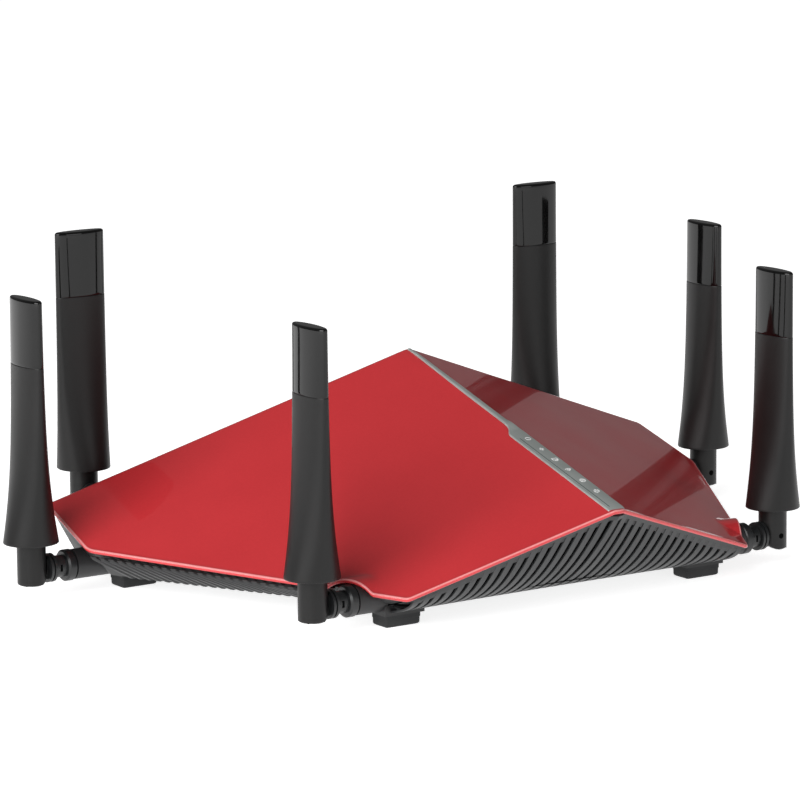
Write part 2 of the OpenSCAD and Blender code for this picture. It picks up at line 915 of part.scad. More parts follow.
module nut(i) {
    window = 1.2;
    color("#2f3031")
    at_antenna(i)
    difference() {
        union() {
            bar(neck_near, collar_near + 0.5, neck_r);
            translate([collar_near, 0, 0]) rotate([0, 90, 0])
                rotate_extrude()
                    polygon([[0, 0], [collar_r - 0.8, 0], [collar_r, 0.8],
                        [collar_r, collar_far - collar_near - 0.5],
                        [collar_r - 0.5, collar_far - collar_near], [0, collar_far - collar_near]]);
        }
        bar(neck_near - 1, collar_far + 1, tail_r + 0.1);
        bar(neck_near + 1.4, neck_near + 2.9, tail_r + 0.95);
        bar(neck_near + 2.8, collar_far + 1, jack_r + run_fit);
        // snap windows in the neck
        translate([neck_near + 1.6, -neck_r - 1, -1.5]) cube([window, 2 * neck_r + 2, 3]);
    }
}

// =====================================================================
// Nodes
// =====================================================================

top_shell();
bottom_shell();
front_grille();
rear_panel();
ridge_strip();
led_window();
led_board();
status_leds();
main_board();
board_parts();
shield_cans();
heat_sink();
ethernet_jacks();
usb_jacks();
dc_jack();
power_button();
wps_button();
reset_button();
tact_switches();
antenna_jacks();
rf_pigtails();
board_screws();
case_screws();
feet();
for (i = [0:5]) {
    sleeve(i);
    cap(i);
    radiator(i);
    knuckle(i);
    pin(i);
    nut(i);
}
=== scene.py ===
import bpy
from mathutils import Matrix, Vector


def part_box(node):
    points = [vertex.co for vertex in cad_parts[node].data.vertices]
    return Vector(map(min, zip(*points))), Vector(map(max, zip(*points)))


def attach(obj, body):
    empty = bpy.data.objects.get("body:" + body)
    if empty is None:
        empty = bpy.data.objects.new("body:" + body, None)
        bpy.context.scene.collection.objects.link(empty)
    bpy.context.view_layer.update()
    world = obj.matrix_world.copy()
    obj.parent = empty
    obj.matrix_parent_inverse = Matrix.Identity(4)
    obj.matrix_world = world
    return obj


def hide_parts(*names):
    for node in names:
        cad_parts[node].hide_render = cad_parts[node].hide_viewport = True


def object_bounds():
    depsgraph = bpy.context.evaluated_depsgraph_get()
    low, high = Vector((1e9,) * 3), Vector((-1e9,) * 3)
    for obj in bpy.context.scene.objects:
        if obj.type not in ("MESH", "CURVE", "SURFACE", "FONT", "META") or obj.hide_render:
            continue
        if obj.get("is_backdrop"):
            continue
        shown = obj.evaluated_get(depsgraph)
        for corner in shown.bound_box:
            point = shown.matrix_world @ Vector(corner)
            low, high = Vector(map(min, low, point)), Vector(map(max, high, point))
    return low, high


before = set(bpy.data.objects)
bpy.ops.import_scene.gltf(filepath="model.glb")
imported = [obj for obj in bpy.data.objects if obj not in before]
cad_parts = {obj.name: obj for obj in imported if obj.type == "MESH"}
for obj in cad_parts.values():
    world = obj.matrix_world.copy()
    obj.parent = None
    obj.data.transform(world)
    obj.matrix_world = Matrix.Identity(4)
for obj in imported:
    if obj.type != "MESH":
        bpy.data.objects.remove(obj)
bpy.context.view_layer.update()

import bpy
import numpy as np
from mathutils import Matrix, Vector

mm = 0.001


def closedRings(rings):
    # rings of points joined into a tube, each end closed to its middle point; faces are turned outwards
    n, m = rings.shape[:2]
    points = np.vstack([rings.reshape(-1, 3), rings[0].mean(0), rings[-1].mean(0)])
    i, k = np.meshgrid(np.arange(n - 1), np.arange(m), indexing="ij")
    a, b = i * m + k, i * m + (k + 1) % m
    quads = np.stack([a, b, b + m, a + m], -1).reshape(-1, 4)
    k = np.arange(m)
    first = np.stack([np.full(m, n * m), (k + 1) % m, k], -1)
    last = np.stack([np.full(m, n * m + 1), (n - 1) * m + k, (n - 1) * m + (k + 1) % m], -1)
    tris = np.vstack([quads[:, [0, 1, 2]], quads[:, [0, 2, 3]], first, last])
    p = points[tris] - points.mean(0)
    if np.einsum("ij,ij->", p[:, 0], np.cross(p[:, 1], p[:, 2])) < 0:
        quads, first, last = quads[:, ::-1], first[:, ::-1], last[:, ::-1]
    return points, quads, np.vstack([first, last])


def joined(parts):
    # several closed tubes put into one mesh
    points, quads, tris, start = [], [], [], 0
    for p, q, t in parts:
        points.append(p)
        quads.append(q + start)
        tris.append(t + start)
        start += len(p)
    return np.vstack(points), np.vstack(quads), np.vstack(tris)


def makePiece(name, shape, body, material, covers=(), attribute=None, smooth=40):
    points, quads, tris = shape
    mesh = bpy.data.meshes.new(name)
    mesh.from_pydata((points * mm).tolist(), [], quads.tolist() + tris.tolist())
    mesh.polygons.foreach_set("use_smooth", np.ones(len(mesh.polygons), bool))
    mesh.update()
    if smooth:
        mesh.set_sharp_from_angle(angle=np.radians(smooth))
    if attribute is not None:
        layer = mesh.attributes.new(attribute[0], "FLOAT", "POINT")
        layer.data.foreach_set("value", attribute[1].astype(np.float32))
    piece = bpy.data.objects.new(name, mesh)
    bpy.context.scene.collection.objects.link(piece)
    mesh.materials.append(material)
    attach(piece, body)
    if covers:
        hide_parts(*covers)


def colour(hexText):
    # sRGB hex to the linear values that the shader wants
    c = np.array([int(hexText[i:i + 2], 16) / 255 for i in (1, 3, 5)])
    linear = np.where(c <= 0.04045, c / 12.92, ((c + 0.055) / 1.055) ** 2.4)
    return (*linear.tolist(), 1.0)


def addNode(tree, kind, settings=None, links=None):
    # a node with its settings, and its inputs linked or set
    made = tree.nodes.new(kind)
    for key, value in (settings or {}).items():
        setattr(made, key, value)
    for key, value in (links or {}).items():
        if isinstance(value, bpy.types.NodeSocket):
            tree.links.new(value, made.inputs[key])
        else:
            made.inputs[key].default_value = value
    return made


def ramp(tree, factor, stops):
    # a blend from one colour to another between two places on the scale
    made = addNode(tree, "ShaderNodeValToRGB", links={"Fac": factor})
    bar = made.color_ramp
    for element, (position, shade) in zip(bar.elements, stops):
        element.position, element.color = position, shade
    return made.outputs["Color"]


def finish(name, settings, dark, light, grain, blotch, roughness, bump=0.0, depth=0.00002, rim=None,
           weave=None):
    # grain and blotch are the sizes of the fine and the broad pattern in mm
    material = bpy.data.materials.new(name)
    material.use_nodes = True
    tree = material.node_tree
    shader = tree.nodes["Principled BSDF"]
    place = addNode(tree, "ShaderNodeTexCoord").outputs["Object"]
    fine = addNode(tree, "ShaderNodeTexNoise", {"noise_dimensions": "3D"},
                   {"Vector": place, "Scale": 1000 / grain, "Detail": 4.0, "Roughness": 0.6})
    broad = addNode(tree, "ShaderNodeTexNoise", {"noise_dimensions": "3D"},
                    {"Vector": place, "Scale": 1000 / blotch, "Detail": 3.0, "Roughness": 0.5})
    blend = addNode(tree, "ShaderNodeMix", {"data_type": "FLOAT"},
                    {"Factor": 0.35, "A": broad.outputs["Fac"], "B": fine.outputs["Fac"]})
    base = ramp(tree, blend.outputs["Result"], [(0.36, colour(dark)), (0.64, colour(light))])
    # rim is a painted highlight colour, mixed in where the rim attribute marks the rounded edge
    if rim:
        edge = addNode(tree, "ShaderNodeAttribute", {"attribute_name": "rim"})
        both = addNode(tree, "ShaderNodeMix", {"data_type": "RGBA"},
                       {"Factor": edge.outputs["Fac"], "A": base, "B": colour(rim)})
        base = both.outputs["Result"]
    tree.links.new(base, shader.inputs["Base Color"])
    gloss = addNode(tree, "ShaderNodeMapRange", links={
        "Value": broad.outputs["Fac"], "From Min": 0.3, "From Max": 0.7,
        "To Min": roughness[0], "To Max": roughness[1]})
    tree.links.new(gloss.outputs["Result"], shader.inputs["Roughness"])
    if bump:
        height = fine.outputs["Fac"]
        if weave:
            lines = addNode(tree, "ShaderNodeTexWave", {"wave_type": "BANDS", "bands_direction": weave[0]},
                            {"Vector": place, "Scale": 1000 / weave[1] / 6.2832, "Distortion": 0.4})
            both = addNode(tree, "ShaderNodeMix", {"data_type": "FLOAT"},
                           {"Factor": 0.6, "A": fine.outputs["Fac"], "B": lines.outputs["Fac"]})
            height = both.outputs["Result"]
        relief = addNode(tree, "ShaderNodeBump", links={
            "Height": height, "Strength": bump, "Distance": depth})
        tree.links.new(relief.outputs["Normal"], shader.inputs["Normal"])
    for key, value in settings.items():
        shader.inputs[key].default_value = value
    return material


# moulded shell under clear lacquer: deep red, mirror-like, with a painted pale-pink highlight along the
# rounded edge
lacqueredRed = finish("lacquered_red_shell", {"IOR": 1.5, "Specular IOR Level": 0.12, "Coat Weight": 0.8,
                                              "Coat Roughness": 0.012},
                      "#c73136", "#cf353a", 1.2, 60, (0.34, 0.42), 0.02, 0.00001, rim="#f4a0a0")
# spark-eroded black plastic: soft grey sheen over a fine grain
sparkedBlack = finish("spark_textured_black_plastic", {"IOR": 1.5}, "#1d1d1e", "#28292a",
                      0.35, 25, (0.48, 0.6), 0.35, 0.00004)
# moulded slats: dark grey with a slightly shinier top edge
mouldedSlat = finish("moulded_dark_grey_slats", {"IOR": 1.5, "Specular IOR Level": 0.35},
                     "#2b2c2d", "#343536", 0.4, 18, (0.38, 0.5), 0.25, 0.00003)
# nearly black, with almost no sheen: painted shade behind the louvres and in the pin's bore
paintedShadeBlack = finish("painted_shade_black", {"IOR": 1.45, "Specular IOR Level": 0.05},
                     "#020202", "#060606", 0.5, 12, (0.85, 0.95), 0.3, 0.00004)
# soft-touch paint on the blades: even charcoal with a broad dull highlight
softTouch = finish("soft_touch_painted_blade", {"IOR": 1.48, "Specular IOR Level": 0.32},
                   "#141414", "#1a1919", 0.22, 30, (0.36, 0.44), 0.25, 0.00002)
# piano-black caps: polished tool, clear reflections
pianoBlack = finish("polished_piano_black_cap", {"IOR": 1.5, "Specular IOR Level": 0.3, "Coat Weight": 0.15,
                                                 "Coat Roughness": 0.02},
                    "#060606", "#0b0b0b", 2.0, 20, (0.06, 0.12), 0.02, 0.00001)
# acetal knuckles and nuts: waxy black
waxyAcetal = finish("moulded_black_acetal", {"IOR": 1.48}, "#191a1b", "#222324",
                    0.5, 8, (0.3, 0.42), 0.2, 0.00003)
# silver lacquer over plastic, faintly brushed along the ridge
silverBand = finish("silver_lacquered_band", {"IOR": 1.5, "Metallic": 0.3}, "#a3a9a6", "#b3b8b5",
                    0.3, 14, (0.3, 0.42), 0.2, 0.00002, weave=("X", 0.5))
# smoked acrylic strip over the lamps
smokedAcrylic = finish("smoked_acrylic_window", {"IOR": 1.49, "Coat Weight": 0.6, "Coat Roughness": 0.05},
                       "#6c7573", "#7c8583", 1.0, 20, (0.2, 0.28), 0.05, 0.00001)
# printed icons, matt white ink with a fine screen
screenInk = finish("screen_printed_white_ink", {"IOR": 1.45},
                   "#f0f2f0", "#ffffff", 0.2, 3, (0.5, 0.6), 0.1, 0.00001)
# rubber feet with a dusty bloom
bloomedRubber = finish("bloomed_rubber_feet", {"IOR": 1.52},
                       "#191a1b", "#262728", 0.6, 7, (0.68, 0.85), 0.4, 0.00005)
# solder mask over copper traces
solderMask = finish("solder_mask_green", {"IOR": 1.55},
                    "#0f4a2c", "#1c6b42", 1.4, 9, (0.3, 0.45), 0.3, 0.00003, weave=("Y", 2.0))
# chips and small parts: flat black epoxy, slightly shiny
mouldedEpoxy = finish("moulded_black_components", {"IOR": 1.5},
                      "#161616", "#242424", 0.5, 6, (0.4, 0.6), 0.2, 0.00003)
# socket bodies: dark grey nylon, mottled by its glass fibre
socketShell = finish("glass_filled_socket_nylon", {"IOR": 1.5},
                     "#1a1b1c", "#2a2c2e", 0.4, 6, (0.35, 0.5), 0.3, 0.00003)
# screws and socket cans: bright steel with a brushed grain
nickelSteel = finish("nickel_plated_steel", {"Metallic": 1.0},
                     "#9a9c9e", "#b4b6b8", 0.3, 5, (0.22, 0.36), 0.15, 0.00002, weave=("X", 0.4))
# shield cans: pale, soft metal with a broad dull sheen
tinPlate = finish("tin_plated_shield", {"Metallic": 1.0},
                  "#a6a8aa", "#bdbfc0", 0.5, 8, (0.3, 0.45), 0.15, 0.00002)
# heat sink: plain aluminium with fine draw lines
extrudedAluminium = finish("extruded_aluminium", {"Metallic": 1.0},
                           "#9b9ea0", "#b1b4b6", 0.3, 9, (0.35, 0.5), 0.2, 0.00003, weave=("Y", 0.3))
# connector bodies: thin gold over brass
goldFlash = finish("gold_flashed_brass", {"Metallic": 1.0},
                   "#b98d3a", "#d3a954", 0.4, 4, (0.2, 0.34), 0.1, 0.00002)
# cable jackets: smooth brown plastic
brownJacket = finish("extruded_brown_cable_jacket", {"IOR": 1.46},
                     "#33251a", "#463424", 0.3, 5, (0.4, 0.55), 0.2, 0.00002)
# lamp bodies: milky resin
lampWhite = finish("cast_lamp_resin", {"IOR": 1.5}, "#dfe4df", "#f2f6f2", 0.5, 3, (0.2, 0.3), 0.1, 0.00001)
# reset button: dark red plastic
redButton = finish("moulded_red_button", {"IOR": 1.5},
                   "#7a1517", "#8f1d20", 0.3, 4, (0.35, 0.45), 0.2, 0.00002)
# finishes of the nodes that are shown as they come
keptFinishes = {
    "bottom_shell": sparkedBlack, "rear_panel": sparkedBlack,
    "led_board": solderMask, "status_leds": lampWhite,
    "main_board": solderMask, "board_parts": mouldedEpoxy, "shield_cans": tinPlate,
    "heat_sink": extrudedAluminium, "ethernet_jacks": socketShell, "usb_jacks": nickelSteel,
    "dc_jack": socketShell, "power_button": waxyAcetal, "wps_button": waxyAcetal,
    "reset_button": redButton, "tact_switches": mouldedEpoxy, "antenna_jacks": goldFlash,
    "rf_pigtails": brownJacket, "board_screws": nickelSteel, "case_screws": nickelSteel,
}
for n in range(1, 7):
    keptFinishes[f"antenna_{n}_radiator"] = solderMask
    keptFinishes[f"antenna_{n}_knuckle"] = waxyAcetal
    keptFinishes[f"antenna_{n}_nut"] = waxyAcetal
    keptFinishes[f"antenna_{n}_pin"] = nickelSteel
for nodeName, material in keptFinishes.items():
    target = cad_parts[nodeName]
    if not target.material_slots:
        target.data.materials.append(material)
    for place in target.material_slots:
        place.material = material
print("materials made")


# sizes in mm: heights and distances of the folded roof's corners
roofSizes = {
    "tipFront": 123.1, "tipHeight": 48.4, "apexBack": 35.6, "apexHeight": 94.8,
    "cornerHalf": 89.9, "cornerFront": 95.4, "cornerHeight": 16.2,
    "sideHalf": 164.3, "sideBack": 40.9, "shoulderHalf": 161.2, "shoulderBack": 80.9,
    "rearHalf": 135.0, "rearBack": 91.5, "rearFall": 0.45, "wall": 2.0, "edgeRadius": 0.95,
    "archTilt": 2.0, "archWide": 10.0, "archRise": 5.0, "archBack": 2.0, "archIn": 2.8, "archBlend": 0.12,
    "ridgeRound": 0.6, "rearRound": 1.0, "creaseBlend": 0.5,
}
rs = roofSizes
ridgeRise = (rs["apexHeight"] - rs["tipHeight"]) / (rs["tipFront"] + rs["apexBack"])
ridgeAtCorner = rs["tipHeight"] + ridgeRise * (rs["tipFront"] - rs["cornerFront"])
sideFall = (ridgeAtCorner - rs["cornerHeight"]) / rs["cornerHalf"]
ridgeAtShoulder = rs["tipHeight"] + ridgeRise * (rs["shoulderBack"] + rs["tipFront"])
shoulderHeight = ridgeAtShoulder - sideFall * rs["shoulderHalf"]
rearAtShoulder = rs["apexHeight"] - rs["rearFall"] * (rs["shoulderBack"] - rs["apexBack"])
rearSideFall = (rearAtShoulder - shoulderHeight) / rs["shoulderHalf"]
# one arch over each front nut: its side, the nut's distance from the middle, and the arch's line across
arches = []
for n in (3, 6):
    low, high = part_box(f"antenna_{n}_nut")
    middle = (low + high) / 2 / mm
    arches.append((np.sign(middle.x), abs(middle.x), middle.y + rs["archBack"]))


def planes(x, y, half=0.0):
    # the lower of the front roof, falling sideways from the ridge, and the rear roof; half flattens the ridge
    away = np.sqrt(np.maximum(np.abs(x), half) ** 2 + rs["ridgeRound"] ** 2)
    front = rs["tipHeight"] + ridgeRise * (y + rs["tipFront"]) - sideFall * away
    out = np.sqrt(x ** 2 + rs["rearRound"] ** 2)
    rear = rs["apexHeight"] - rs["rearFall"] * (y - rs["apexBack"]) - rearSideFall * out
    gap = front - rear
    return (front + rear - np.sqrt(gap ** 2 + rs["creaseBlend"])) / 2


def roofHeight(x, y):
    # the two planes, flattened under the ridge strip, with the arches blended in
    half = np.interp(y, [-122, -119.2, -47, -40], [1.6, 3.9, 3.9, 1.2])
    height = planes(x, y, half)
    for side, nutX, yArch in arches:
        # a cylinder that sinks into the roof as it runs inwards, blended in softly
        rise = rs["archRise"]
        radius = (rs["archWide"] ** 2 + rise ** 2) / (2 * rise)
        edgeX = nutX - rs["archIn"]
        tilt = np.radians(rs["archTilt"])
        roofThere = planes(np.float64(edgeX), np.float64(yArch))
        axis = roofThere + rise - radius + np.tan(tilt) * (edgeX - side * x)
        across = radius ** 2 - (y - yArch) ** 2
        crown = axis + np.sqrt(np.maximum(across, 0)) / np.cos(tilt)
        crown = np.where((across > 0) & (side * x > 20), crown, -50.0)
        gap = height - crown
        height = (height + crown + np.sqrt(gap ** 2 + rs["archBlend"])) / 2
    return height


def rimPath():
    # the plan outline, each corner eased, with more points near the ridge, the creases and the arches
    half = np.array([
        [0, -rs["tipFront"]], [rs["cornerHalf"], -rs["cornerFront"]], [rs["sideHalf"], rs["sideBack"]],
        [rs["shoulderHalf"], rs["shoulderBack"]], [rs["rearHalf"], rs["rearBack"]], [0, rs["rearBack"]]])
    ring = np.vstack([half, half[1:-1][::-1] * [-1, 1]])
    steps = []
    count = len(ring)
    ease = np.array([2.5, 2.0, 3.0, 3.0, 3.0, 0.5, 3.0, 3.0, 3.0, 2.0])
    for i in range(count):
        here, after = ring[i], ring[(i + 1) % count]
        before = ring[i - 1]
        inward = here + (before - here) / np.linalg.norm(before - here) * ease[i]
        outward = here + (after - here) / np.linalg.norm(after - here) * ease[i]
        t = np.linspace(0, 1, 9)[:, None]
        steps.append((1 - t) ** 2 * inward + 2 * t * (1 - t) * here + t ** 2 * outward)
        stop = after + (here - after) / np.linalg.norm(here - after) * ease[(i + 1) % count]
        length = np.linalg.norm(stop - outward)
        t = np.linspace(0, 1, max(int(length / 1.1), 3))[1:-1, None]
        steps.append(outward + (stop - outward) * t)
    return np.vstack(steps)


def makeRoof():
    # one closed mesh: the top from the peak outwards, the rounded edge, and the underside back to the peak
    rim = rimPath()
    along = np.roll(rim, -1, 0) - np.roll(rim, 1, 0)
    along /= np.linalg.norm(along, axis=1)[:, None]
    out = np.stack([along[:, 1], -along[:, 0]], -1)
    radius = rs["edgeRadius"]
    inner = rim - radius * out
    centre = np.array([0, rs["apexBack"]])
    t = np.concatenate([[0.004, 0.02, 0.05], np.linspace(0.09, 0.7, 30), np.linspace(0.715, 1, 34)])
    plan = centre + (inner - centre)[None] * t[:, None, None]
    top = np.dstack([plan, roofHeight(plan[..., 0], plan[..., 1])])
    turn = np.radians(np.linspace(75, -90, 9))[:, None, None]
    edgePlan = inner[None] + radius * np.cos(turn) * out[None]
    lip = roofHeight(inner[:, 0], inner[:, 1])
    edge = np.dstack([edgePlan, lip[None] - radius + radius * np.sin(turn[..., 0])])
    under = top[[-1, -6, -14, 24, 3, 0]] - [0, 0, rs["wall"]]
    rings = np.concatenate([top, edge, under[1:]])
    shape = closedRings(rings)
    # painted highlight: the upper rows of the rounded edge take the pale-pink rim colour
    rimHighlightPaint = np.zeros((len(rings), len(rim)))
    rimHighlightPaint[len(top):len(top) + 4] = [[0.6], [1], [0.7], [0.15]]
    rimHighlightPaint = np.concatenate([rimHighlightPaint.ravel(), [0, 0]])
    makePiece("roof_shell", shape, "housing", lacqueredRed, ["top_shell"],
              ("rim", rimHighlightPaint), smooth=60)


makeRoof()
print("roof made")


louvreSizes = {
    "pitch": 5.0, "slat": 3.1, "count": 35, "bendY": -94.0, "bendZ": 9.2,
    "footY": -72.0, "footZ": 5.5, "deep": 0.9, "recess": 3.6, "half": 88.0, "top": 1.9, "bottom": 0.9,
}
ls = louvreSizes


def frontCurve(x, t, sink=0.0):
    # from the rim at width x, a curve that drops and turns under to the tray: three-point blend in t
    y0 = -rs["tipFront"] + (rs["tipFront"] - rs["cornerFront"]) * np.abs(x) / rs["cornerHalf"] + 1.2
    z0 = planes(x, y0, 4.5) - rs["wall"] + 0.2
    y = (1 - t) ** 2 * y0 + 2 * t * (1 - t) * ls["bendY"] + t ** 2 * ls["footY"]
    z = (1 - t) ** 2 * z0 + 2 * t * (1 - t) * ls["bendZ"] + t ** 2 * ls["footZ"]
    dy = 2 * (1 - t) * (ls["bendY"] - y0) + 2 * t * (ls["footY"] - ls["bendY"])
    dz = 2 * (1 - t) * (ls["bendZ"] - z0) + 2 * t * (ls["footZ"] - ls["bendZ"])
    size = np.sqrt(dy ** 2 + dz ** 2) + 1e-9
    # inwards is the tangent turned by a quarter
    return y - dz / size * sink, z + dy / size * sink


def band(x, start, end, low, high):
    # a strip across the front from start to end mm down the curve (end below zero counts from the foot up)
    y0, z0 = frontCurve(x, 0.0 * x)
    length = np.hypot(y0 - ls["footY"], z0 - ls["footZ"]) * 1.04
    a, b = start / length, end / length
    if end <= 0:
        a, b = 1 + a, 1 + b
    rows = []
    for u, sink in ((0, 0.15), (0.06, 0), (0.94, 0), (1, 0.15), (1, 1), (0, 1)):
        y, z = frontCurve(x, np.clip(a + (b - a) * u, 0, 1), low + (high - low) * sink)
        rows.append(np.stack([x, y, z], -1))
    return closedRings(np.stack(rows, 1))


def makeLouvres():
    # slats that follow the front curve, a frame along the top and the foot, and a near-black sheet behind
    # them as painted shade
    parts = []
    middle = (ls["count"] - 1) / 2
    profileX = np.array([-1, -0.9, 0.9, 1, 1, -1]) * ls["slat"] / 2
    profileSink = np.array([0.15, 0, 0, 0.15, 1, 1]) * [1, 1, 1, 1, ls["deep"], ls["deep"]]
    for i in range(ls["count"]):
        x = (i - middle) * ls["pitch"]
        t = np.linspace(0.0, 1.0, 28)[:, None] * np.ones((1, 6))
        xs = x + profileX[None] * np.ones((28, 1))
        y, z = frontCurve(xs, t, profileSink[None] * np.ones((28, 1)))
        parts.append(closedRings(np.stack([xs, y, z], -1)))
    across = np.linspace(-ls["half"], ls["half"], 177)
    parts.append(band(across, 0.0, ls["top"], -0.03, ls["deep"]))
    parts.append(band(across, -ls["bottom"], 0.0, 0.6, ls["deep"] + 1))
    makePiece("louvre_slats", joined(parts), "housing", mouldedSlat,
              ["front_grille"], smooth=25)
    # the backing sheet is painted shade: near-black where the inside of the grille lies in shadow
    grid = np.meshgrid(across, np.linspace(0.0, 0.98, 24), indexing="ij")
    sheets = []
    for sink in (ls["recess"], ls["recess"] + 1.0):
        y, z = frontCurve(grid[0], grid[1], sink)
        z = np.minimum(z, planes(grid[0], y, 4.5) - rs["wall"] - 0.6)
        sheets.append(np.stack([grid[0], y, z], -1))
    rings = np.concatenate([sheets[0], sheets[1][:, ::-1]], 1)
    makePiece("louvre_backing", closedRings(rings), "housing", paintedShadeBlack)


makeLouvres()


sideRibs = {"count": 26, "lean": 0.055, "wide": 2.6, "proud": 0.75,
            "lowStart": (84.5, -68.0), "lowEnd": (146.5, 47.5), "lowZ": 8.2,
            "highStart": (102.5, -69.5), "highEnd": (163.2, 41.0)}


def makeRibs():
    # leaning ribs up each side wall, from the tray to the roof's edge
    parts = []
    lowA, lowB = np.array(sideRibs["lowStart"]), np.array(sideRibs["lowEnd"])
    highA, highB = np.array(sideRibs["highStart"]), np.array(sideRibs["highEnd"])
    along = (highB - highA) / np.linalg.norm(highB - highA)
    for side in (-1, 1):
        for q in np.linspace(0.06, 0.93, sideRibs["count"]):
            foot, head = lowA + (lowB - lowA) * q, highA + (highB - highA) * min(q + sideRibs["lean"], 1)
            foot3 = np.array([*foot, sideRibs["lowZ"]])
            head3 = np.array([*head, planes(head[0], head[1]) - rs["wall"] - 1.4])
            up = (head3 - foot3) / np.linalg.norm(head3 - foot3)
            wide = np.array([*along, 0.0])
            out = np.cross(wide, up)
            out = out / np.linalg.norm(out) * np.sign(out[0])
            t = np.array([0, 0.04, 0.5, 0.96, 1])[:, None, None]
            a = np.array([-1, -0.6, 0.6, 1, 1, -1])[None, :, None] * sideRibs["wide"] / 2
            h = np.array([0.2, 1, 1, 0.2, -1.2, -1.2])[None, :, None] * sideRibs["proud"]
            fade = np.array([0.3, 1, 1, 1, 0.3])[:, None, None]
            ring = foot3 + (head3 - foot3) * t + wide * a + out * (h * fade + 0.35)
            parts.append(closedRings(ring * [side, 1, 1]))
    makePiece("side_ribs", joined(parts), "housing", sparkedBlack, smooth=35)


makeRibs()
print("front and side walls made")


bandSizes = {"first": 19.5, "step": 10.42, "x": 1.3, "level": -1.1, "line": 0.42, "thick": 0.1, "size": 1.45}


def alongRidge(points):
    # x across, y along the ridge from its front tip, z off it, turned to the ridge's slope
    a = np.arctan(ridgeRise)
    y = points[..., 1] * np.cos(a) - points[..., 2] * np.sin(a) - rs["tipFront"]
    z = points[..., 1] * np.sin(a) + points[..., 2] * np.cos(a) + rs["tipHeight"]
    return np.stack([points[..., 0], y, z], -1)


def stroke(line, centre):
    # a thin printed line of even width along the points of line
    line = np.array(line, float) * bandSizes["size"] + centre
    step = np.gradient(line, axis=0)
    side = np.stack([-step[:, 1], step[:, 0]], -1)
    side /= np.linalg.norm(side, axis=1)[:, None]
    w, level, thick = bandSizes["line"] / 2, bandSizes["level"] + 0.01, bandSizes["thick"]
    corners = [(-w, 0), (w, 0), (w, thick), (-w, thick)]
    ring = np.stack([np.column_stack([line + side * a, np.full(len(line), level + h)])
                     for a, h in corners], 1)
    return closedRings(alongRidge(ring))


def arc(radius, start, end, cx=0.0, cy=0.0):
    # points along part of a circle, its ends given in degrees
    a = np.radians(np.linspace(start, end, 14))
    return np.column_stack([cx + radius * np.cos(a), cy + radius * np.sin(a)])


def makeIcons():
    # six plain line symbols, one beside each lamp
    power = [arc(0.8, 125, 415), [(0, 0.1), (0, 1.0)]]
    globe = [arc(0.9, 0, 359), [(-0.9, 0), (0.9, 0)], arc(1.3, 140, 220, 0.8), arc(1.3, -40, 40, -0.8)]
    waves = [arc(0.4, 40, 140, 0, -0.7), arc(0.95, 45, 135, 0, -0.7), arc(1.5, 50, 130, 0, -0.7)]
    plug = [[(0, -0.9), (0, 0.8)], [(-0.5, -0.3), (-0.5, 0.2), (0, 0.5)], [(0.5, -0.5), (0.5, 0.0), (0, 0.3)]]
    loop = [arc(0.8, 30, 170), arc(0.8, 210, 350), [(0.5, 0.5), (0.95, 0.35)], [(-0.5, -0.5), (-0.95, -0.35)]]
    screen = [[(-0.9, -0.3), (-0.9, 0.7), (0.9, 0.7), (0.9, -0.3), (-0.9, -0.3)], [(-0.5, -0.8), (0.5, -0.8)]]
    parts = []
    for i, icon in enumerate((power, globe, waves, screen, plug, loop)):
        for line in icon:
            parts.append(stroke(line, (bandSizes["x"], bandSizes["first"] + i * bandSizes["step"])))
    makePiece("lamp_icons", joined(parts), "housing", screenInk, smooth=30)


makeIcons()

stripSizes = {
    "beadHalf": 1.4, "beadTop": 0.3, "bandHalf": 4.3, "bandTop": -1.1, "low": -3.2, "round": 0.55,
    "front": 1.6, "leftStep": (77.0, 84.0), "rightStep": (79.0, 90.0),
    "slotAt": -2.15, "slotHalf": 0.3, "slotEnds": (5.0, 73.0),
}


